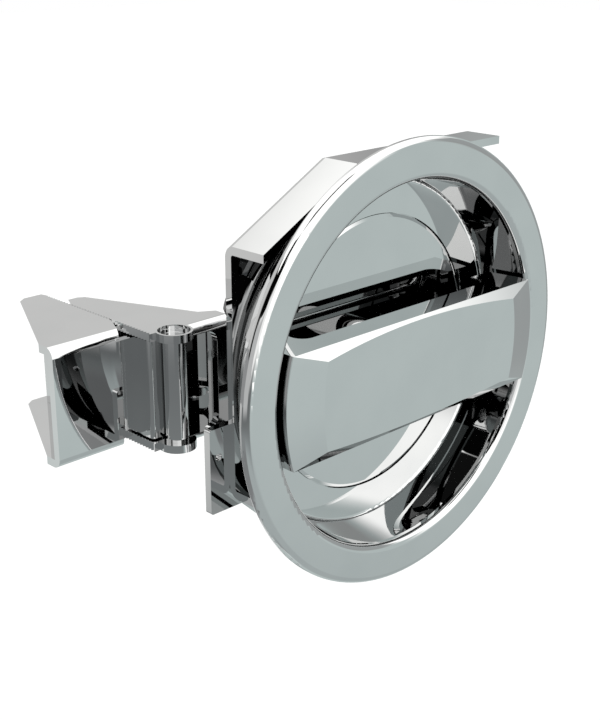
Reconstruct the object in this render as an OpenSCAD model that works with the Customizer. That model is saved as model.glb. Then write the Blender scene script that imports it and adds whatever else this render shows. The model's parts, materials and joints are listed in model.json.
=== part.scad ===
// Flush cam latch: a round recessed dish with a bar handle, a clamping bracket behind it
// and a cam arm that carries an adjustable claw.
// Origin: centre of the flange ring's rear face, which seats on the door panel.
// X runs along the closed bar away from the arm, Y runs back into the door, Z is up.

/* [Dish] */
// Outer diameter of the flange ring
ring_d = 130; // [120:1:150]
// Thickness of the flange ring
ring_t = 3; // [2:0.5:4]
// Diameter of the finger opening
opening_d = 107; // [104:1:112]
// Depth from the ring's front face to the dish floor
dish_depth = 17; // [15:0.5:24]
// Wall thickness of the dish
dish_wall = 1.9; // [1.5:0.1:3]
// Thickness of the dish floor
floor_t = 3; // [3:0.5:5]
// Radius on the ring's outer and inner front edges
ring_round = 2; // [0.5:0.5:2.5]
// How much the wall of the dish draws in from its front to its floor
dish_draft = 2.1; // [0:0.1:3]
// Radius on the outer rear edge of the dish
dish_back_round = 5.5; // [2:0.5:7]
// Radius inside the dish between wall and floor
dish_floor_round = 1; // [0.5:0.5:4]

/* [Handle] */
// Height of the bar across its width
bar_h = 32; // [24:1:38]
// How far the ends of the front panel stand proud of the ring
bar_proud = 3.8; // [2:0.1:6]
// Depth of the bevel round the front panel
bar_bevel_depth = 2.4; // [1:0.1:3]
// Width of the bevel along the long edges
bar_bevel_w = 3.5; // [2:0.1:5]
// Distance from the ring's front face back to the bar's rear edge
bar_depth = 6; // [4:0.5:8]
// Depth of the hollow in the front panel at mid length
bar_dish = 1.75; // [0.5:0.05:2.2]
// Gap between the ends of the bar and the finger opening
bar_end_gap = 1.1; // [0.8:0.1:3]
// Width of the front panel, measured across its round ends
panel_d = 82; // [70:1:90]
// Distance between the two end legs of the bar
leg_span = 79.2; // [70:0.2:86]
// Distance from the ring's front face back to the end of the legs
leg_depth = 12.5; // [9:0.5:14]
// Thickness of the front panel at mid length
bar_wall = 3; // [2:0.1:4]
// Height of the trough in the bar's back
trough_h = 17; // [13:0.5:20]
// Radius between the bar's back and its legs
leg_root_r = 4; // [1:0.5:5]
// Radius of the stem behind the bar
stem_r = 9.5; // [9:0.5:14]
// Side of the square spigot that drives the bar
drive_sq = 10; // [8:0.5:11]

/* [Rotor] */
// Diameter of the turning disc in the dish floor
disc_d = 82.2; // [70:0.2:90]
// Thickness of the turning disc
disc_t = 1.4; // [1:0.1:1.6]
// Width of the slope round the edge of the disc
disc_slope = 0.9; // [0.3:0.1:2]
// Thickness of the glide ring under the disc
glide_t = 0.5; // [0.4:0.1:0.8]
// Gap between the disc and the edge of its recess
disc_gap = 0.3; // [0.3:0.1:1]
// Radius of the spindle in its bush
spindle_r = 8; // [7:0.5:9]
// Side of the square that drives the cam arm
arm_sq = 11; // [10.5:0.5:11]
// Radius of the threaded end of the spindle
thread_r = 5; // [4:0.5:5]
// Radial running clearance of the spindle in its bush
run_gap = 0.05; // [0.02:0.01:0.1]

/* [Bracket] */
// Thickness of the folded sheet of the bracket, arm and claw
sheet_t = 2.3; // [2:0.1:3]
// Height of the bracket's flat flanges above the axis
bracket_half_h = 59.4; // [58:0.2:66]
// Reach of the bracket on the arm's side
bracket_left = 51.5; // [50:0.5:54]
// Reach of the bracket on the far side
bracket_right = 43.7; // [40:0.5:60]
// Distance from the axis to where the upper flange turns down
slope_top_x = 17.6; // [5:0.1:25]
// Angle of the upper sloped flange
slope_top_a = 28.5; // [20:0.5:40]
// Distance from the axis to where the lower flange turns up
slope_low_x = 21; // [5:0.1:30]
// Angle of the lower sloped flange
slope_low_a = 43.4; // [25:0.2:50]
// Thickness of door panel that the ring and bracket clamp
panel_t = 4.7; // [3:0.1:6]
// Outer radius of the folds
fold_r = 3; // [3:0.1:4]
// Distance of the studs along X from the axis
stud_x = 41.5; // [38:0.5:43]
// Distance of the studs above and below the axis
stud_z = 21.6; // [20:0.2:24]

// How far the fixing tab stands out past the bracket
tab_reach = 6.8; // [4:0.1:10]
// Height of the fixing tab
tab_h = 25; // [16:0.5:28]
// Radius of the hole in the fixing tab
tab_hole_r = 1.1; // [0.8:0.1:2]

/* [Cam arm] */
// Distance from the back of the bracket to the arm's web
arm_gap = 10.7; // [9.5:0.1:16]
// Outer height of the arm and claw
arm_h = 33.8; // [30:0.2:38]
// Distance from the axis to the arm's serrated edges
arm_reach = 66.3; // [64:0.1:76]
// Length of the arm's side plates behind the web
arm_plate_l = 44; // [40:0.5:52]
// Depth of the narrow neck of the arm
neck_l = 6.6; // [5:0.1:9]
// Diameter of the post between the arm's plates
post_d = 6.5; // [6:0.1:8]
// Pitch of the serrations
tooth_pitch = 1.25; // [1:0.05:2]
// Depth of the serrations
tooth_h = 0.7; // [0.4:0.1:1]

/* [Claw] */
// Width of the claw's web
claw_w = 25.2; // [18:0.1:32]
// Distance from the arm's web back to the claw's web
claw_set = 11; // [9:0.5:16]
// Length of the claw behind its web
claw_l = 43; // [36:0.5:50]
// Width of the claw's flanges at their far end
claw_tip_w = 7.2; // [5:0.1:10]
// Radius of the clamp bolt
clamp_bolt_r = 4; // [3:0.5:4]

/* [Hidden] */
$fn = 96;
eps = 0.01;
seat = 0.02;
fold_lead = 0.005;
fold_over = 60;
weld_margin = 4.5;

ring_r = ring_d / 2;
ring_front = -ring_t;
floor_y = ring_front + dish_depth;
opening_r = opening_d / 2;
cup_r = opening_r + dish_wall;
dish_back = floor_y + floor_t;
draft_y = 0;
floor_r = opening_r - dish_draft;
cup_back_r = cup_r - dish_draft * (dish_back - draft_y) / (floor_y - draft_y);
disc_r = disc_d / 2;
recess_r = disc_r + disc_gap;
disc_slope_t = 0.3;
recess_back = floor_y + disc_t + glide_t + 0.1;
bracket_front = dish_back;
bracket_back = bracket_front + sheet_t;
bracket_edge = panel_t;

bar_end_r = opening_r - bar_end_gap;
bar_front = ring_front - bar_proud;
bar_shoulder = bar_front + bar_bevel_depth;
bar_back = ring_front + bar_depth;
leg_back = ring_front + leg_depth;
leg_end_r = bar_end_r - dish_draft * (leg_back - draft_y) / (floor_y - draft_y);
dish_cyl_r = (pow(panel_d / 2, 2) + pow(bar_dish, 2)) / (2 * bar_dish);
trough_front = bar_front + bar_dish + bar_wall;
trough_l = leg_span - 2 * leg_root_r;
trough_r = 6;
stem_front = trough_front - bar_wall / 2;
spigot_front = leg_back - 4.5;
square_gap = 0.1;
cross_pin_r = 1.6;
cross_pin_y = (bar_back + floor_y) / 2 + 1;

collar_r = stem_r + 3.5;
collar_back = floor_y + disc_t + 3;
bore_gap = 0.6;
bush_wall = 2.5;
bush_flange_t = bracket_back - collar_back - 0.1;
bush_r = spindle_r + run_gap + bush_wall;
housing_flange_r = 26;
housing_flange_t = 3;
housing_wall = 3.5;
web_front = bracket_back + arm_gap;
housing_back = web_front - 1.2;
washer_t = 1.6;
m6_r = 3;
m6_af = 10;
m6_nut_t = 5;
m6_washer_r = 6;
stud_end = 2;
m4_r = 2;
m4_hole_r = 2.25;
m4_head_r = 3.8;
m4_head_t = 2.4;
m4_key_af = 2.5;
m4_key_depth = 1.4;
housing_screw_circle_r = 20.5;

arm_half = arm_h / 2;
web_back = web_front + sheet_t;
arm_in = arm_half - sheet_t;
arm_back = web_front + arm_plate_l;
tab_round = 0.7;
post_r = post_d / 2;
post_x = -arm_reach + 6.9;
post_y = web_front + 1.5;
post_end = arm_half - 1.6;
counterbore_r = post_r + 1.2;
lobe_r = post_r + 1.9;
plate_front = web_front + 3;
window_right = -arm_reach + 20.7;
box_end_x = -arm_reach + 26;
hub_end_r = arm_half;
arm_nut_af = 17;
arm_nut_t = 8;
thread_end = 3;
arm_washer_t = 2.5;
arm_washer_r = 12;

claw_front = web_front + claw_set;
claw_back = claw_front + sheet_t;
claw_end = claw_front + claw_l;
claw_left = -arm_reach - claw_w;
claw_web_right = -arm_reach - 4.2;
mesh_gap = 0.12;
teeth_front = plate_front + 0.4;
claw_step = claw_front + 9;
tongue_front = post_y + post_r + 0.1;
tongue_half = arm_in - 0.5;
end_plate_t = sheet_t;
end_plate_x = -arm_reach + 1;
clamp_plate_x = -arm_reach - 1.2 - sheet_t;
clamp_y = claw_step + 8;
end_plate_front = claw_step + 0.5;
clamp_slot = 12;
m8_af = 13;
m8_head_t = 5.3;
m8_nut_t = 4;
m8_washer_r = 8;

// Turns a shape modelled along Z to lie along Y
module along_y(y0 = 0) { translate([0, y0, 0]) rotate([-90, 0, 0]) children(); }

// Turns a shape modelled along Z to lie along X
module along_x(x0 = 0) { translate([x0, 0, 0]) rotate([0, 90, 0]) children(); }

// Plate of thickness t whose outline is drawn in X and Z
module upright_plate(y0, t) { translate([0, y0 + t, 0]) rotate([90, 0, 0]) linear_extrude(t) children(); }

// Cutter that rounds the corner of a profile; sx and sz point out of the corner
module corner_cut(x, y, r, sx, sy) {
    translate([x - sx * r, y - sy * r]) difference() {
        translate([sx > 0 ? 0 : -r - 1, sy > 0 ? 0 : -r - 1]) square(r + 1);
        circle(r);
    }
}

// Cutter that rounds the corner p of a profile between faces whose outward normals are at angles a and b
module angled_corner_cut(p, a, b, r) {
    na = [cos(a), sin(a)];
    nb = [cos(b), sin(b)];
    c = p - r * (na + nb) / (1 + na * nb);
    difference() {
        polygon([c, c + (r + 1) * na, p + 2 * (na + nb), c + (r + 1) * nb]);
        translate(c) circle(r);
    }
}

// Cutter that rounds a plate's edge from a to b, where the plate ends at y in the direction s
module fold_cut(a, b, y, r, s = 1) {
    reach = norm(b - a);
    translate([a[0], 0, a[1]]) rotate([0, atan2(b[0] - a[0], b[1] - a[1]), 0])
        translate([0, 0, -fold_over]) linear_extrude(reach + 2 * fold_over)
            corner_cut(fold_lead, y + s * fold_lead, r, 1, s);
}

// Hexagon with the given size across its flats and a corner on the X axis
module hex(af) { circle(r = af / sqrt(3), $fn = 6); }

// Places children at the four studs
module at_studs() { for (sx = [-1, 1], sz = [-1, 1]) translate([sx * stud_x, 0, sz * stud_z]) children(); }

// Section of the dish from its axis outwards: X is the radius, Y the depth
module dish_profile() {
    draft_a = atan(dish_draft / (floor_y - draft_y));
    difference() {
        union() {
            translate([0, ring_front]) square([ring_r, ring_t]);
            polygon([[0, ring_front], [cup_r, ring_front], [cup_r, draft_y], [cup_back_r, dish_back],
                [0, dish_back]]);
        }
        difference() {
            polygon([[-1, ring_front - 1], [opening_r, ring_front - 1], [opening_r, draft_y],
                [floor_r, floor_y], [-1, floor_y]]);
            angled_corner_cut([floor_r, floor_y], draft_a, 90, dish_floor_round);
        }
        translate([-1, floor_y - 1]) square([recess_r + 1, recess_back - floor_y + 1]);
        translate([-1, recess_back - 1]) square([collar_r + bore_gap + 1, dish_back]);
        corner_cut(ring_r, ring_front, ring_round, 1, -1);
        corner_cut(ring_r, 0, 0.5, 1, 1);
        corner_cut(opening_r, ring_front, ring_round, -1, -1);
        angled_corner_cut([cup_back_r, dish_back], draft_a, 90, dish_back_round);
    }
}

// Flange ring and cup, pressed and turned as one piece
module dish() {
    color([0.86, 0.87, 0.87]) along_y() rotate_extrude($fn = 160) dish_profile();
}

// Bar section across its length: Y is depth, Z is height
module bar_section() {
    half = bar_h / 2;
    polygon([[leg_back, -half], [bar_shoulder, -half], [bar_front, -half + bar_bevel_w],
        [bar_front, half - bar_bevel_w], [bar_shoulder, half], [leg_back, half]]);
}

// Half of the bar's round plan: radius in X, depth in Y
module bar_end_profile() {
    polygon([[0, bar_front], [panel_d / 2, bar_front], [bar_end_r, bar_shoulder], [bar_end_r, draft_y],
        [leg_end_r, leg_back], [0, leg_back]]);
}

// Rounded rectangle centred on the origin
module rounded_rect(w, h, r) {
    square([w - 2 * r, h], center = true);
    square([w, h - 2 * r], center = true);
    for (sx = [-1, 1], sy = [-1, 1]) translate([sx * (w / 2 - r), sy * (h / 2 - r)]) circle(r);
}

// Bridge handle: dished front panel, bevels, end legs, a trough in its back and a driving stem
module handle_bar() {
    color([0.8, 0.82, 0.82]) difference() {
        union() {
            difference() {
                intersection() {
                    translate([-ring_r, 0, 0]) rotate([90, 0, 90]) linear_extrude(ring_d) bar_section();
                    along_y() rotate_extrude($fn = 160) bar_end_profile();
                }
                translate([0, bar_front + bar_dish - dish_cyl_r, -bar_h])
                    cylinder(r = dish_cyl_r, h = 2 * bar_h, $fn = 360);
                translate([0, 0, -bar_h]) linear_extrude(2 * bar_h) difference() {
                    translate([-leg_span / 2, bar_back]) square([leg_span, leg_depth]);
                    for (s = [-1, 1]) corner_cut(s * leg_span / 2, bar_back, leg_root_r, s, -1);
                }
                upright_plate(trough_front, bar_depth) rounded_rect(trough_l, trough_h, trough_r);
            }
            along_y(stem_front) cylinder(r = stem_r, h = floor_y - stem_front);
        }
        upright_plate(spigot_front, dish_depth) square(drive_sq + square_gap, center = true);
        cross_pin_bore();
    }
}

// Bore of the cross pin through stem and spigot
module cross_pin_bore() {
    translate([0, cross_pin_y, 0]) along_x(-stem_r - 1)
        cylinder(r = cross_pin_r + seat, h = 2 * stem_r + 2, $fn = 32);
}

// Cross pin that locks the bar on the spindle
module handle_pin() {
    color([0.7, 0.7, 0.72]) translate([0, cross_pin_y, 0]) along_x(-stem_r + 0.5)
        cylinder(r = cross_pin_r, h = 2 * stem_r - 1, $fn = 32);
}

// Disc in the floor that turns with the bar
module rotor_disc() {
    color([0.84, 0.85, 0.85]) difference() {
        along_y(floor_y) rotate_extrude($fn = 160) difference() {
            square([disc_r, disc_t]);
            polygon([[disc_r - disc_slope, 0], [disc_r + 1, -1], [disc_r + 1, disc_slope_t],
                [disc_r, disc_slope_t]]);
        }
        upright_plate(floor_y - 1, disc_t + 2) square(drive_sq + square_gap, center = true);
    }
}

// Polymer ring on which the disc glides
module glide_ring() {
    color([0.93, 0.92, 0.88]) along_y(floor_y + disc_t + 0.05) difference() {
        cylinder(r = disc_r - 2, h = glide_t);
        translate([0, 0, -1]) cylinder(r = collar_r + bore_gap, h = glide_t + 2);
    }
}

// Spindle: square spigot, collar, bearing length, square for the arm and thread
module spindle() {
    collar_front = floor_y + disc_t;
    thread_l = sheet_t + arm_washer_t + arm_nut_t + thread_end;
    color([0.72, 0.73, 0.75]) difference() {
        union() {
            upright_plate(spigot_front + 0.2, collar_front - spigot_front) square(drive_sq, center = true);
            along_y(collar_front) cylinder(r = collar_r, h = collar_back - collar_front);
            along_y(collar_back - eps) cylinder(r = spindle_r, h = web_front - collar_back + eps);
            upright_plate(web_front - eps, sheet_t) square(arm_sq, center = true);
            along_y(web_front) rotate_extrude() difference() {
                square([thread_r, thread_l]);
                corner_cut(thread_r, thread_l, 1, 1, 1);
            }
        }
        cross_pin_bore();
    }
}

// Flanged bush in the bearing housing
module spindle_bush() {
    color([0.62, 0.5, 0.28]) along_y(bracket_back - bush_flange_t) difference() {
        union() {
            cylinder(r = collar_r, h = bush_flange_t);
            cylinder(r = bush_r, h = housing_back - bracket_back + bush_flange_t);
        }
        translate([0, 0, -1]) cylinder(r = spindle_r + run_gap, h = arm_gap + 10);
    }
}

// Bearing housing behind the bracket
module bearing_housing() {
    color([0.66, 0.67, 0.69]) difference() {
        along_y(bracket_back) rotate_extrude() difference() {
            union() {
                square([housing_flange_r, housing_flange_t]);
                square([bush_r + housing_wall, housing_back - bracket_back]);
                difference() {
                    square([bush_r + housing_wall + 1.5, housing_flange_t + 1.5]);
                    translate([bush_r + housing_wall + 1.5, housing_flange_t + 1.5]) circle(1.5);
                }
            }
            translate([-1, -1]) square([bush_r + 1 + seat, arm_gap + 10]);
            corner_cut(housing_flange_r, housing_flange_t, 1, 1, 1);
            corner_cut(bush_r + housing_wall, housing_back - bracket_back, 0.8, 1, 1);
        }
        at_housing_screws() along_y(bracket_front - 1)
            cylinder(r = m4_hole_r, h = sheet_t + housing_flange_t + 2, $fn = 32);
    }
}

// Places children at the housing's four screws
module at_housing_screws() {
    for (k = [0:3]) rotate([0, 45 + 90 * k, 0]) translate([housing_screw_circle_r, 0, 0]) children();
}

// Button head screws that hold the housing on the bracket
module housing_screws() {
    grip = sheet_t + housing_flange_t;
    dome_r = m4_head_r * 1.6;
    color([0.6, 0.6, 0.62]) at_housing_screws() along_y(bracket_front) difference() {
        union() {
            translate([0, 0, seat]) cylinder(r = m4_r, h = grip, $fn = 32);
            translate([0, 0, grip]) intersection() {
                cylinder(r = m4_head_r, h = m4_head_t, $fn = 48);
                translate([0, 0, m4_head_t - dome_r]) sphere(r = dome_r, $fn = 48);
            }
        }
        translate([0, 0, grip + m4_head_t - m4_key_depth]) linear_extrude(m4_head_t) hex(m4_key_af);
    }
}

// Thrust washer between the housing and the arm
module thrust_washer() {
    color([0.9, 0.89, 0.84]) along_y(housing_back + 0.05) difference() {
        cylinder(r = arm_washer_r, h = web_front - housing_back - 0.1);
        translate([0, 0, -1]) cylinder(r = spindle_r + run_gap, h = 4);
    }
}

// Outline of the bracket in X and Z, anticlockwise from the lower right
function bracket_outline(inset, open) = [
    [bracket_right + open, -bracket_half_h + inset],
    [bracket_right + open, bracket_half_h - inset],
    [-slope_top_x, bracket_half_h - inset],
    [-bracket_left - open, bracket_half_h - inset - (bracket_left + open - slope_top_x) * tan(slope_top_a)],
    [-bracket_left - open, inset - bracket_half_h + (bracket_left + open - slope_low_x) * tan(slope_low_a)],
    [-slope_low_x, inset - bracket_half_h]];

// Clamping bracket folded from one sheet, open towards the arm and on its far side
module mounting_bracket() {
    outer = bracket_outline(0, 0);
    inner = bracket_outline(sheet_t, 20);
    color([0.82, 0.82, 0.84]) difference() {
        upright_plate(bracket_edge, bracket_back - bracket_edge) polygon(outer);
        difference() {
            upright_plate(bracket_edge - 1, bracket_front - bracket_edge + 1) polygon(inner);
            for (k = [1, 2, 4, 5]) fold_cut(inner[k], inner[(k + 1) % 6], bracket_front, fold_r - sheet_t);
        }
        for (k = [1, 2, 4, 5]) fold_cut(outer[k], outer[(k + 1) % 6], bracket_back, fold_r);
        along_y(bracket_front - 1) cylinder(r = collar_r + bore_gap, h = sheet_t + 2);
        at_housing_screws() along_y(bracket_front - 1) cylinder(r = m4_r + seat, h = sheet_t + 2, $fn = 32);
        at_studs() along_y(bracket_front - 1) cylinder(r = m6_r + 0.3, h = sheet_t + 2, $fn = 48);
    }
}

// Studs welded to the back of the dish
module dish_studs() {
    stud_l = web_front - stud_end - dish_back;
    color([0.6, 0.6, 0.62]) at_studs() along_y(dish_back) rotate_extrude($fn = 48) difference() {
        square([m6_r, stud_l]);
        corner_cut(m6_r, stud_l, 0.6, 1, 1);
    }
}

// Distance of each stud's washer behind the bracket
function stack_at(sx, sz) = bracket_back + (sx < 0 && sz < 0 ? sheet_t : 0);

// Washers under the stud nuts
module stud_washers() {
    color([0.7, 0.7, 0.72]) for (sx = [-1, 1], sz = [-1, 1])
        translate([sx * stud_x, 0, sz * stud_z]) along_y(stack_at(sx, sz)) difference() {
            cylinder(r = m6_washer_r, h = washer_t, $fn = 64);
            translate([0, 0, -1]) cylinder(r = m6_r + 0.2, h = washer_t + 2, $fn = 48);
        }
}

// Chamfered hexagon nut with its bore
module nut(af, t, bore_r) {
    difference() {
        intersection() {
            linear_extrude(t) hex(af);
            rotate_extrude($fn = 64) polygon([[0, 0], [af * 0.5, 0], [af * 0.58, 0.5], [af * 0.58, t - 0.5],
                [af * 0.5, t], [0, t]]);
        }
        translate([0, 0, -1]) cylinder(r = bore_r, h = t + 2, $fn = 48);
    }
}

// Nuts that hold the bracket on the studs
module stud_nuts() {
    color([0.45, 0.45, 0.47]) for (sx = [-1, 1], sz = [-1, 1])
        translate([sx * stud_x, 0, sz * stud_z]) along_y(stack_at(sx, sz) + washer_t)
            nut(m6_af, m6_nut_t, m6_r + 0.03);
}

// Small plate on one stud that stands out past the bracket's open edge
module fixing_tab() {
    left = -bracket_left - tab_reach;
    right = -stud_x + tab_h / 2 - 1.5;
    low = -stud_z - tab_h / 2;
    color([0.75, 0.75, 0.77]) difference() {
        upright_plate(bracket_back, sheet_t) difference() {
            translate([left, low]) square([right - left, tab_h]);
            for (z = [low, low + tab_h]) corner_cut(left, z, tab_round, -1, z > low ? 1 : -1);
        }
        translate([-stud_x, 0, -stud_z]) along_y(bracket_back - 1)
            cylinder(r = m6_r + 0.3, h = sheet_t + 2, $fn = 48);
        translate([left + tab_reach * 0.45, 0, -stud_z + 4]) along_y(bracket_back - 1)
            cylinder(r = tab_hole_r, h = sheet_t + 2, $fn = 32);
    }
}

// Row of V serrations along Y: roots at x + tooth_h, crests at x, from y0 to y1
function serrations(x, y0, y1) =
    [for (k = [0:floor((y1 - y0) / tooth_pitch) - 1]) each [
        [x, y0 + k * tooth_pitch],
        [x + tooth_h, y0 + (k + 0.5) * tooth_pitch]]];

// Path of the arm's closing wall, seen from above, from the web to the far corner
function wall_path() = [[box_end_x, web_back - eps], [box_end_x, web_front + neck_l],
    [box_end_x - 4.3, web_front + neck_l + 2.6], [-arm_reach + 7.5, arm_back - 1.2]];

// Unit vector to the left of the way from a to b
function left_of(a, b) = [a[1] - b[1], b[0] - a[0]] / norm(b - a);

// Point at q of a path p, q, r moved to its left by t
function mitred(p, q, r, t) = let (a = left_of(p, q), b = left_of(q, r)) q + (a + b) * t / (1 + a * b);

// Closing wall, folded along the arm's slanted edge
module closing_wall() {
    w = wall_path();
    polygon([w[0], w[1], w[2], w[3], w[3] + left_of(w[2], w[3]) * sheet_t, mitred(w[1], w[2], w[3], sheet_t),
        mitred(w[0], w[1], w[2], sheet_t), w[0] + left_of(w[0], w[1]) * sheet_t]);
}

// Outline of the arm's top and bottom plates, seen from above
module arm_edge() {
    w = wall_path();
    teeth = serrations(-arm_reach, teeth_front, arm_back - 3);
    polygon(concat(
        [[box_end_x, web_front], w[1], w[2], w[3], [-arm_reach + 5.6, arm_back],
            [-arm_reach + 2.5, arm_back]],
        [for (k = [len(teeth) - 1:-1:0]) teeth[k]],
        [[-arm_reach, plate_front], [-arm_reach + 5, plate_front], [post_x + post_r, web_front]]));
}

// Outline of the arm's web, with the square for the spindle
module arm_web() {
    difference() {
        union() {
            translate([-arm_reach + 7, -arm_half]) square([arm_reach - 7, arm_h]);
            circle(hub_end_r);
        }
        square(arm_sq + square_gap, center = true);
    }
}

// Cam arm: web with a window, two side plates with lobes for the post, a closing wall and serrated edges
module cam_arm() {
    color([0.75, 0.75, 0.76]) difference() {
        union() {
            difference() {
                union() {
                    for (z = [-arm_half, arm_in]) translate([0, 0, z]) linear_extrude(sheet_t) arm_edge();
                    upright_plate(web_front, sheet_t) arm_web();
                    translate([0, 0, -arm_in - eps]) linear_extrude(2 * arm_in + 2 * eps) closing_wall();
                }
                window();
                web_folds(web_front);
            }
            for (z = [-arm_half, arm_in]) translate([post_x, post_y, z]) cylinder(r = lobe_r, h = sheet_t);
        }
        translate([post_x, post_y, -arm_half - 1]) cylinder(r = post_r + seat, h = arm_h + 2);
        for (z = [-arm_half - 1, post_end]) translate([post_x, post_y, z])
            cylinder(r = counterbore_r, h = arm_half + 1 - post_end);
    }
}

// Cutters that round both long edges of a web whose front lies at y
module web_folds(y) {
    long = 2 * arm_reach;
    for (s = [-1, 1]) fold_cut([s * long, s * arm_half], [-s * long, s * arm_half], y, fold_r, -1);
}

// Opening in the web: a rounded window that runs out towards the claw
module window() {
    h = 2 * arm_in - 0.6;
    upright_plate(web_front - 1, sheet_t + 2) difference() {
        translate([-arm_reach - 10, -h / 2]) square([window_right + arm_reach + 10, h]);
        for (s = [-1, 1]) corner_cut(window_right, s * h / 2, 3.5, 1, s);
    }
}

// Post between the arm's plates at the front corner
module arm_post() {
    color([0.88, 0.89, 0.89]) translate([post_x, post_y, 0]) rotate_extrude($fn = 96) difference() {
        translate([0, -post_end]) square([post_r, 2 * post_end]);
        corner_cut(post_r, post_end, 0.5, 1, 1);
        corner_cut(post_r, -post_end, 0.5, 1, -1);
    }
}

// Plate welded in the arm's open side, against which the claw is clamped
module arm_end_plate() {
    color([0.7, 0.7, 0.72]) difference() {
        translate([end_plate_x, end_plate_front, -arm_in + seat])
            cube([end_plate_t, arm_back - weld_margin - end_plate_front, 2 * arm_in - 2 * seat]);
        translate([0, clamp_y, 0]) along_x(end_plate_x - 1)
            cylinder(r = clamp_bolt_r + 0.3, h = end_plate_t + 2);
    }
}

// Washer behind the arm's web
module arm_washer() {
    color([0.7, 0.7, 0.72]) along_y(web_back + seat) difference() {
        cylinder(r = arm_washer_r, h = arm_washer_t - 2 * seat);
        translate([0, 0, -1]) cylinder(r = thread_r + 0.2, h = arm_washer_t + 2);
    }
}

// Nut on the spindle's thread
module arm_nut() {
    color([0.5, 0.5, 0.52]) along_y(web_back + arm_washer_t) nut(arm_nut_af, arm_nut_t, thread_r + 0.03);
}

// Claw outline, seen from above: slanted outside edge, and inside teeth that mesh with the arm's
module claw_edge() {
    mesh_x = -arm_reach - mesh_gap;
    mesh_y = teeth_front + ceil((claw_step - teeth_front) / tooth_pitch) * tooth_pitch;
    polygon(concat(
        [[claw_left, claw_front], [claw_web_right, claw_front], [mesh_x, claw_step]],
        serrations(mesh_x, mesh_y, claw_end - 1.5),
        [[mesh_x, claw_end], [mesh_x - claw_tip_w + 1.5, claw_end],
            [mesh_x - claw_tip_w - 1, claw_end - 1.8], [claw_left, claw_front + 6]]));
}

// Joggled tongue, seen from above: from the claw's web forward and in behind the post
module tongue_path() {
    x0 = claw_web_right - 1;
    x1 = -arm_reach + 1;
    x2 = post_x + post_r;
    difference() {
        polygon([[x0, claw_front], [x1, claw_front], [x1, tongue_front], [x2, tongue_front],
            [x2, tongue_front + sheet_t], [x1 + sheet_t, tongue_front + sheet_t], [x1 + sheet_t, claw_back],
            [x0, claw_back]]);
        corner_cut(x1, tongue_front, 1.2, -1, -1);
        corner_cut(x1 + sheet_t, claw_back, 1.2, 1, 1);
    }
}

// Claw: a channel whose web reaches in behind the post with a joggled tongue
module claw() {
    color([0.8, 0.8, 0.81]) difference() {
        union() {
            for (z = [-arm_half, arm_in]) translate([0, 0, z]) linear_extrude(sheet_t) claw_edge();
            upright_plate(claw_front, sheet_t) translate([claw_left, -arm_half])
                square([claw_web_right - claw_left, arm_h]);
            translate([0, 0, -tongue_half]) linear_extrude(2 * tongue_half) tongue_path();
        }
        web_folds(claw_front);
    }
}

// Slotted plate welded between the claw's flanges
module claw_clamp_plate() {
    color([0.7, 0.7, 0.72]) difference() {
        translate([clamp_plate_x, claw_step + 1, -arm_in + seat])
            cube([sheet_t, claw_end - weld_margin - claw_step - 1, 2 * arm_in - 2 * seat]);
        translate([0, clamp_y, 0]) along_x(clamp_plate_x - 1) linear_extrude(sheet_t + 2) {
            square([2 * clamp_bolt_r + 0.6, clamp_slot], center = true);
            for (s = [-1, 1]) translate([0, s * clamp_slot / 2]) circle(clamp_bolt_r + 0.3);
        }
    }
}

// Bolt that clamps the claw to the arm
module clamp_bolt() {
    head_x = clamp_plate_x - washer_t - m8_head_t;
    color([0.4, 0.4, 0.42]) translate([0, clamp_y, 0]) along_x(head_x) {
        intersection() {
            linear_extrude(m8_head_t) hex(m8_af);
            rotate_extrude($fn = 64) polygon([[0, 0], [m8_af * 0.5, 0], [m8_af * 0.58, 0.5],
                [m8_af * 0.58, m8_head_t], [0, m8_head_t]]);
        }
        cylinder(r = clamp_bolt_r, h = -head_x + end_plate_x + end_plate_t + m8_nut_t + 0.5);
    }
}

// Washer under the clamp bolt's head
module clamp_washer() {
    color([0.6, 0.6, 0.62]) translate([0, clamp_y, 0]) along_x(clamp_plate_x - washer_t) difference() {
        cylinder(r = m8_washer_r, h = washer_t - seat);
        translate([0, 0, -1]) cylinder(r = clamp_bolt_r + 0.2, h = washer_t + 2);
    }
}

// Nut of the clamp bolt
module clamp_nut() {
    color([0.5, 0.5, 0.52]) translate([0, clamp_y, 0]) along_x(end_plate_x + end_plate_t + seat)
        nut(m8_af, m8_nut_t, clamp_bolt_r + 0.03);
}

dish();
handle_bar();
handle_pin();
rotor_disc();
glide_ring();
spindle();
spindle_bush();
bearing_housing();
housing_screws();
thrust_washer();
mounting_bracket();
dish_studs();
stud_washers();
stud_nuts();
fixing_tab();
cam_arm();
arm_post();
arm_end_plate();
arm_washer();
arm_nut();
claw();
claw_clamp_plate();
clamp_bolt();
clamp_washer();
clamp_nut();
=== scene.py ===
import json
import math

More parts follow.
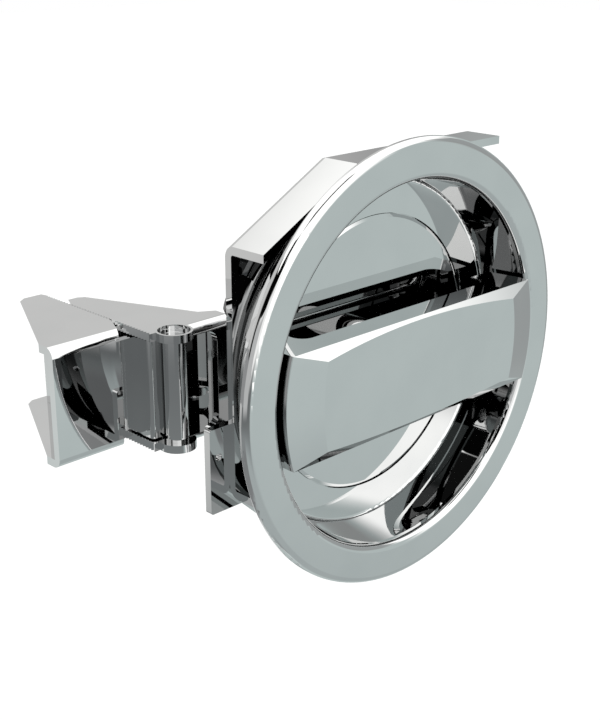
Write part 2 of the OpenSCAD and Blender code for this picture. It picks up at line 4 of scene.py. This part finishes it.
import bmesh
import bpy
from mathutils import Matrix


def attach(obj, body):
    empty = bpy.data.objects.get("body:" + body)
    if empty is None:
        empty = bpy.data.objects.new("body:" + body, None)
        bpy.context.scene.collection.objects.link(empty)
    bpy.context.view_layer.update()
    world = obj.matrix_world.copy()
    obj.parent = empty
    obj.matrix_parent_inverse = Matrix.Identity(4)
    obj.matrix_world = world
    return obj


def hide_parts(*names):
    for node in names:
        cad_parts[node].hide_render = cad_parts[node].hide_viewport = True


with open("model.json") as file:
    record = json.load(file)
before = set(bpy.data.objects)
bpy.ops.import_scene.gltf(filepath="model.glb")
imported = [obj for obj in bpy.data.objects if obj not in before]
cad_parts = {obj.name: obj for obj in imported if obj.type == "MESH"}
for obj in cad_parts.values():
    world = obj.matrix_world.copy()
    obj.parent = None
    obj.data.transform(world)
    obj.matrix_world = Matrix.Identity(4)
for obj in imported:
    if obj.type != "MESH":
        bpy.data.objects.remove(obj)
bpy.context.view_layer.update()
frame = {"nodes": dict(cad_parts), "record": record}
nodes = frame["nodes"]
slots = {part["node"]: part["material_slot"] for part in frame["record"]["subparts"]}
print("frame loaded:", len(nodes), "nodes")

# The camera stands where the photograph was taken from
photo = {
    "focal": 61.72,  # mm, on a film as wide as the next value
    "film": 36.0,
    "place": (-0.253782, -0.214118, 0.121021),
    "turn": -44.503,  # degrees about Z
    "downwards": 19.887,
    "near": 0.01,
    "far": 20.0,
}


def makeCamera():
    data = bpy.data.cameras.new("photoCamera")
    data.lens = photo["focal"]
    data.sensor_width = photo["film"]
    data.clip_start = photo["near"]
    data.clip_end = photo["far"]
    camera = bpy.data.objects.new("photoCamera", data)
    bpy.context.scene.collection.objects.link(camera)
    camera.location = photo["place"]
    camera.rotation_euler = (math.radians(90 - photo["downwards"]), 0.0, math.radians(photo["turn"]))
    bpy.context.scene.camera = camera


makeCamera()
print("camera placed")


# Shader maths: a Socket wraps a node's output, and arithmetic on it adds Math nodes
class Socket:
    def __init__(self, tree, output):
        self.tree = tree
        self.output = output

    def node(self, kind, settings=None, out=0, **inputs):  # s0 is the first socket, Base_Color a named one
        made = self.tree.nodes.new(kind)
        for name, value in (settings or {}).items():
            setattr(made, name, value)
        for name, value in inputs.items():
            key = int(name[1:]) if name[1:].isdigit() else name.replace("_", " ")
            if isinstance(value, Socket):
                self.tree.links.new(value.output, made.inputs[key])
            else:
                made.inputs[key].default_value = value
        return Socket(self.tree, made.outputs[out] if made.outputs else None)

    def sibling(self, name):  # another output of the same node
        return Socket(self.tree, self.output.node.outputs[name])

    def maths(self, operation, *values):
        return self.node("ShaderNodeMath", {"operation": operation},
                         **{"s" + str(k): value for k, value in enumerate(values)})

    def __add__(self, other):
        return self.maths("ADD", self, other)

    def __radd__(self, other):
        return self.maths("ADD", other, self)

    def __sub__(self, other):
        return self.maths("SUBTRACT", self, other)

    def __rsub__(self, other):
        return self.maths("SUBTRACT", other, self)

    def __mul__(self, other):
        return self.maths("MULTIPLY", self, other)

    def __rmul__(self, other):
        return self.maths("MULTIPLY", other, self)

    def __pow__(self, other):
        return self.maths("POWER", self, other)

    def __abs__(self):
        return self.maths("ABSOLUTE", self)

    def ramp(self, low, high, atLow=0.0, atHigh=1.0):
        return self.node("ShaderNodeMapRange", {"interpolation_type": "SMOOTHSTEP"},
                         Value=self, From_Min=low, From_Max=high, To_Min=atLow, To_Max=atHigh)

    def mixed(self, a, b):  # colour a where this is 0 and b where it is 1
        return self.node("ShaderNodeMix", {"data_type": "RGBA"}, out=2, s0=self, s6=a, s7=b)


def tree(owner):
    owner.use_nodes = True
    owner.node_tree.nodes.clear()
    return Socket(owner.node_tree, None)


def axes(net, vector):
    parts = net.node("ShaderNodeSeparateXYZ", s0=vector)
    return [parts.sibling(name) for name in "XYZ"]


def grey(level):
    return (level, level, level, 1.0)


def screen(red, green, blue):  # a colour as a screen shows it, 0 to 255, made linear
    return tuple(((level / 255 + 0.055) / 1.055) ** 2.4 for level in (red, green, blue)) + (1.0,)


# The studio as the metal sees it: a white room, a grey floor, and pale and dark cards round the object
studio = {
    "white": (290, 290, 288),
    "cards": {
        # azimuth from +X towards +Y, height, half width, half height, softness in degrees, colour
        "floorAround": (4, -50, 121, 42, 15, (187, 197, 196)),
        "floorRight": (22, -10, 72, 34, 11, (185, 195, 194)),
        "greyStrip": (-29, 4, 5, 13, 8, (151, 152, 151)),
        "greyPost": (-10, 3, 20, 28, 9, (158, 162, 162)),
        "greyRight": (49, 3, 14, 32, 16, (153, 153, 153)),
        "blackLeft": (181, 20, 49, 25, 2, (3, 3, 3)),
        "floorLeft": (198, -46, 70, 42, 20, (110, 113, 114)),
        "paleBehind": (-140, 14, 39, 15, 11, (250, 250, 249)),
        "paleBack": (96, 12, 51, 31, 12, (204, 204, 203)),
        "floorNear": (-113, -55, 114, 26, 20, (168, 176, 176)),
        "greyBack": (85, -30, 29, 28, 12, (95, 97, 98)),
        "blackOver": (-101, 67, 43, 6, 1, (18, 18, 18)),
        "greyBackLow": (129, -42, 62, 13, 13, (129, 131, 132)),
        "blackLeftHigh": (-163, 43, 20, 18, 1, (4, 4, 4)),
        "stripBack": (77, -25, 15, 25, 17, (272, 272, 272)),
        "greyLeftBack": (143, -4, 23, 10, 1, (147, 148, 149)),
        "paleLeft": (-163, 3, 30, 20, 8, (189, 190, 190)),
    },
    "fade": (2, 7),  # reflections of reflections grow dark between these depths
    "plain": 0.75,  # what matt surfaces are lit with
}


def makeWorld():
    world = bpy.data.worlds.new("studio")
    bpy.context.scene.world = world
    net = tree(world)
    x, y, z = axes(net, net.node("ShaderNodeTexCoord"))
    azimuth = net.maths("ARCTAN2", y, x) * math.degrees(1)
    height = net.maths("ARCSINE", z) * math.degrees(1)
    colour = screen(*studio["white"])
    for az, el, wide, high, soft, paint in studio["cards"].values():
        off = abs(net.maths("WRAP", azimuth - az, 180.0, -180.0))
        across = off.ramp(wide - soft / 2, wide + soft / 2, 1.0, 0.0)
        upright = abs(height - el).ramp(high - soft / 2, high + soft / 2, 1.0, 0.0)
        colour = (across * upright).mixed(colour, screen(*paint))
    ray = net.node("ShaderNodeLightPath")
    colour = ray.sibling("Ray Depth").ramp(*studio["fade"]).mixed(colour, grey(0.0))
    colour = ray.sibling("Is Diffuse Ray").mixed(colour, grey(studio["plain"]))
    colour = ray.sibling("Is Camera Ray").mixed(colour, grey(1.0))
    light = net.node("ShaderNodeBackground", Color=colour, Strength=1.0)
    net.node("ShaderNodeOutputWorld", Surface=light)


makeWorld()
print("studio built")

# A pale floor well below the latch, which in use hangs in a door
floor = {
    "size": 6.0,
    "height": -0.15,
    "tone": 0.8,
    "lift": 0.4,  # added for the camera, so that only the shadow is darker than white
}


def makeFloor():
    shape = bmesh.new()
    bmesh.ops.create_grid(shape, x_segments=2, y_segments=2, size=floor["size"] / 2)
    bmesh.ops.translate(shape, verts=shape.verts, vec=(0, 0, floor["height"]))
    mesh = bpy.data.meshes.new("floor")
    shape.to_mesh(mesh)
    shape.free()
    ground = bpy.data.objects.new("floor", mesh)
    bpy.context.scene.collection.objects.link(ground)
    ground.visible_glossy = False  # the studio's cards are the floor that the metal sees
    material = bpy.data.materials.new("paleFloor")
    net = tree(material)
    matt = net.node("ShaderNodeBsdfDiffuse", Color=grey(floor["tone"]))
    seen = net.node("ShaderNodeLightPath", out="Is Camera Ray")
    glow = net.node("ShaderNodeEmission", Color=grey(1.0), Strength=seen * floor["lift"])
    both = net.node("ShaderNodeAddShader", s0=matt, s1=glow)
    net.node("ShaderNodeOutputMaterial", Surface=both)
    mesh.materials.append(material)


makeFloor()
print("floor laid")

# Finishes: scales are in turns or cells for each metre, bump heights in metres
chrome = {
    "tint": (0.865, 0.868, 0.868),
    "deeper": (0.835, 0.84, 0.842),  # where the polish is a little duller
    "roughness": 0.015,
    "cloud": 0.012,  # how much rougher the polish is in places
}
plated = {
    "tint": (0.62, 0.63, 0.64),
    "deeper": (0.5, 0.505, 0.5),
    "roughness": 0.24,
    "cloud": 0.12,
    "grain": 0.05,
}
darkPlated = {
    "tint": (0.34, 0.34, 0.35),
    "deeper": (0.24, 0.235, 0.225),
    "roughness": 0.3,
    "cloud": 0.14,
    "grain": 0.08,
}
bronze = {
    "tint": (0.66, 0.5, 0.27),
    "deeper": (0.5, 0.36, 0.18),
    "roughness": 0.26,
    "cloud": 0.12,
    "rings": 0.12,  # turning marks
}
polymer = {
    "tint": (0.86, 0.85, 0.8),
    "deeper": (0.8, 0.785, 0.72),
    "roughness": 0.42,
    "cloud": 0.12,
    "skin": 0.1,  # fine unevenness of the moulded surface
}
patterns = {
    "metalCloud": {"scale": 60.0, "detail": 3.0, "rough": (0.35, 0.75)},
    "polymerCloud": {"scale": 90.0, "detail": 4.0, "rough": (0.3, 0.7)},
    "tint": (0.3, 0.7),  # where the noise goes from one tint to the other
    "grain": {"scale": 2200.0, "height": 0.0001},
    "skin": {"scale": 1800.0, "detail": 2.0, "height": 0.0001},
    "rings": {"outwards": 22000, "along": 20000, "height": 0.00005},
}


def clouded(net, place, options, cloud):  # base colour and roughness, both uneven in soft patches
    noise = net.node("ShaderNodeTexNoise", {"noise_dimensions": "3D"}, Vector=place,
                     Scale=cloud["scale"], Detail=cloud["detail"])
    low = options["roughness"]
    tint, deeper = (options[key] + (1.0,) for key in ("tint", "deeper"))
    return {
        "Base_Color": noise.ramp(*patterns["tint"]).mixed(tint, deeper),
        "Roughness": noise.ramp(*cloud["rough"], low, low + options["cloud"]),
    }


def makeMetal(name, options):
    material = bpy.data.materials.new(name)
    net = tree(material)
    place = net.node("ShaderNodeTexCoord", out="Object")
    shader = clouded(net, place, options, patterns["metalCloud"])
    if "grain" in options:  # crystals of the plating
        grain = patterns["grain"]
        cells = net.node("ShaderNodeTexVoronoi", {"feature": "F1"}, Vector=place, Scale=grain["scale"])
        shader["Normal"] = net.node("ShaderNodeBump", Strength=options["grain"], Distance=grain["height"],
                                    Height=cells)
    if "rings" in options:
        rings = patterns["rings"]
        x, y, z = axes(net, place)
        marks = net.maths("SINE", (x * x + z * z) ** 0.5 * rings["outwards"] + y * rings["along"])
        shader["Normal"] = net.node("ShaderNodeBump", Strength=options["rings"], Distance=rings["height"],
                                    Height=marks)
    surface = net.node("ShaderNodeBsdfPrincipled", Metallic=1.0, **shader)
    net.node("ShaderNodeOutputMaterial", Surface=surface)
    return material


def makePolymer(name, options):
    material = bpy.data.materials.new(name)
    net = tree(material)
    place = net.node("ShaderNodeTexCoord", out="Object")
    skin = patterns["skin"]
    fine = net.node("ShaderNodeTexNoise", {"noise_dimensions": "3D"}, Vector=place,
                    Scale=skin["scale"], Detail=skin["detail"])
    bump = net.node("ShaderNodeBump", Strength=options["skin"], Distance=skin["height"], Height=fine)
    shader = clouded(net, place, options, patterns["polymerCloud"])
    surface = net.node("ShaderNodeBsdfPrincipled", Normal=bump, **shader)
    net.node("ShaderNodeOutputMaterial", Surface=surface)
    return material


finishes = {
    "chrome": makeMetal("chrome", chrome),
    "steel_plated": makeMetal("steelPlated", plated),
    "steel_dark": makeMetal("steelDark", darkPlated),
    "bronze": makeMetal("bronze", bronze),
    "polymer": makePolymer("polymer", polymer),
}
for name, node in nodes.items():
    node.data.materials.clear()
    node.data.materials.append(finishes[slots[name]])
print("materials made")


# Pieces that stand for a CAD node are shaped in millimetres, from the node's own mesh where it serves
def placed(name, shape):
    mesh = bpy.data.meshes.new(name)
    shape.to_mesh(mesh)
    shape.free()
    piece = bpy.data.objects.new(name, mesh)
    bpy.context.scene.collection.objects.link(piece)
    return piece


def nodeShape(name):  # the node's loose triangles, merged
    shape = bmesh.new()
    shape.from_mesh(nodes[name].data)
    bmesh.ops.scale(shape, vec=(1000, 1000, 1000), verts=shape.verts)
    bmesh.ops.remove_doubles(shape, verts=shape.verts, dist=1e-3)
    bmesh.ops.recalc_face_normals(shape, faces=shape.faces)
    return shape


def standFor(name, shape, body, sharp=25):  # edges stay crisp past so many degrees
    bmesh.ops.scale(shape, vec=(0.001, 0.001, 0.001), verts=shape.verts)
    for face in shape.faces:
        face.smooth = True
    for edge in shape.edges:
        edge.smooth = len(edge.link_faces) == 2 and edge.calc_face_angle() < math.radians(sharp)
    piece = placed(name + "Piece", shape)
    piece.data.materials.append(finishes[slots[name]])
    piece.modifiers.new("evenShading", "WEIGHTED_NORMAL").keep_sharp = True
    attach(piece, body)
    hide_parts(name)


def addShape(shape, other, move=(0, 0, 0)):
    bmesh.ops.translate(other, vec=move, verts=other.verts)
    mesh = bpy.data.meshes.new("carried")
    other.to_mesh(mesh)
    other.free()
    shape.from_mesh(mesh)
    bpy.data.meshes.remove(mesh)


def cutFlat(shape, height, way):  # way 1 takes off what lies behind that height, -1 what lies before it
    everything = list(shape.verts) + list(shape.edges) + list(shape.faces)
    cut = bmesh.ops.bisect_plane(shape, geom=everything, plane_co=(0, height, 0), plane_no=(0, way, 0),
                                 clear_outer=True)
    rim = [e for e in cut["geom_cut"] if isinstance(e, bmesh.types.BMEdge)]
    bmesh.ops.holes_fill(shape, edges=rim, sides=0)


# Rolled threads, made as a real helix where the CAD has plain rods
threads = {
    "steps": 40,  # round one turn
    "depth": 0.61,  # of the pitch
    "start": 1.313,  # pitches before the lower end, so that no edge lies in the cut
    "studs": {"radius": 3.0, "pitch": 1.0, "low": 17.0, "high": 28.0, "across": 41.5, "up": 21.6},
    "spindle": {"radius": 5.0, "pitch": 1.5, "low": 32.4, "high": 45.8},
}


def helix(options):  # about the Y axis, with flat ends
    radius, pitch, low, high = (options[key] for key in ("radius", "pitch", "low", "high"))
    root = radius - threads["depth"] * pitch
    steps = threads["steps"]
    turns = math.ceil((high - low) / pitch) + 2
    ridge = ((root, 0.0), (root, 0.12), (radius, 0.44), (radius, 0.56), (root, 0.88), (root, 1.0))
    start = threads["start"]
    shape = bmesh.new()
    corners = [shape.verts.new((reach, low + (part - start) * pitch, 0)) for reach, part in ridge]
    edges = [shape.edges.new(pair) for pair in zip(corners, corners[1:])]
    bmesh.ops.spin(shape, geom=corners + edges, cent=(0, 0, 0), axis=(0, 1, 0), angle=2 * math.pi * turns,
                   steps=steps * turns, dvec=(0, pitch / steps, 0))
    bmesh.ops.remove_doubles(shape, verts=shape.verts, dist=1e-4)
    cutFlat(shape, low, -1)
    cutFlat(shape, high, 1)
    bmesh.ops.recalc_face_normals(shape, faces=shape.faces)
    return shape


def makeStuds():
    stud = threads["studs"]
    shape = bmesh.new()
    for across in (-stud["across"], stud["across"]):
        for up in (-stud["up"], stud["up"]):
            addShape(shape, helix(stud), (across, 0, up))
    standFor("dish_studs", shape, "housing")


def makeSpindle():
    end = threads["spindle"]
    shape = nodeShape("spindle")
    bmesh.ops.dissolve_limit(shape, angle_limit=0.001, verts=shape.verts, edges=shape.edges)
    cutFlat(shape, end["low"], 1)
    addShape(shape, helix(end))
    standFor("spindle", shape, "rotor")


makeStuds()
makeSpindle()
print("threads cut")

# The bar's back: the trough is closed, and a pocket lies behind each long edge
bar = {
    "trough": ((-35.8, -2.3, -8.8), (35.8, 3.0, 8.8)),  # what closes it, corner to corner
    "pocket": ((-39.2, -2.4, 9.5), (39.2, 9.0, 14.3)),
    "corner": 4.4,  # the pockets' corners next to the middle rib
    "root": 1.2,  # where their walls meet the floor
    "segments": 14,
    "sharp": 8,
}


def block(low, high):
    shape = bmesh.new()
    bmesh.ops.create_cube(shape, size=1)
    bmesh.ops.scale(shape, vec=[b - a for a, b in zip(low, high)], verts=shape.verts)
    bmesh.ops.translate(shape, vec=[(a + b) / 2 for a, b in zip(low, high)], verts=shape.verts)
    return shape


def roundEdges(shape, radius, **where):  # the edges that lie at these coordinates
    edges = [e for e in shape.edges
             if all(abs(getattr(v.co, axis) - at) < 1e-3 for v in e.verts for axis, at in where.items())]
    bmesh.ops.bevel(shape, geom=edges, offset=radius, offset_type="OFFSET", segments=bar["segments"],
                    affect="EDGES", profile=0.5, material=-1)


def makePocket(side):  # side 1 is the upper one, -1 the lower one
    low, high = bar["pocket"]
    shape = block(low, high)
    for end in (low[0], high[0]):
        roundEdges(shape, bar["corner"], x=end, z=low[2])
    roundEdges(shape, bar["root"], y=low[1])
    bmesh.ops.scale(shape, vec=(1, 1, side), verts=shape.verts)
    bmesh.ops.recalc_face_normals(shape, faces=shape.faces)
    return placed("pocket", shape)


def combine(piece, operation, tool):
    change = piece.modifiers.new(tool.name, "BOOLEAN")
    change.operation = operation
    change.solver = "EXACT"
    change.object = tool
    ready = piece.evaluated_get(bpy.context.evaluated_depsgraph_get())
    mesh = bpy.data.meshes.new_from_object(ready)
    piece.modifiers.clear()
    piece.data = mesh
    bpy.data.objects.remove(tool)


def makeBar():
    piece = placed("barWhole", nodeShape("handle_bar"))
    combine(piece, "UNION", placed("filling", block(*bar["trough"])))
    for side in (1, -1):
        combine(piece, "DIFFERENCE", makePocket(side))
    shape = bmesh.new()
    shape.from_mesh(piece.data)
    bpy.data.objects.remove(piece)
    standFor("handle_bar", shape, "rotor", bar["sharp"])


makeBar()
print("bar shaped")

bpy.context.scene.view_settings.view_transform = "Standard"
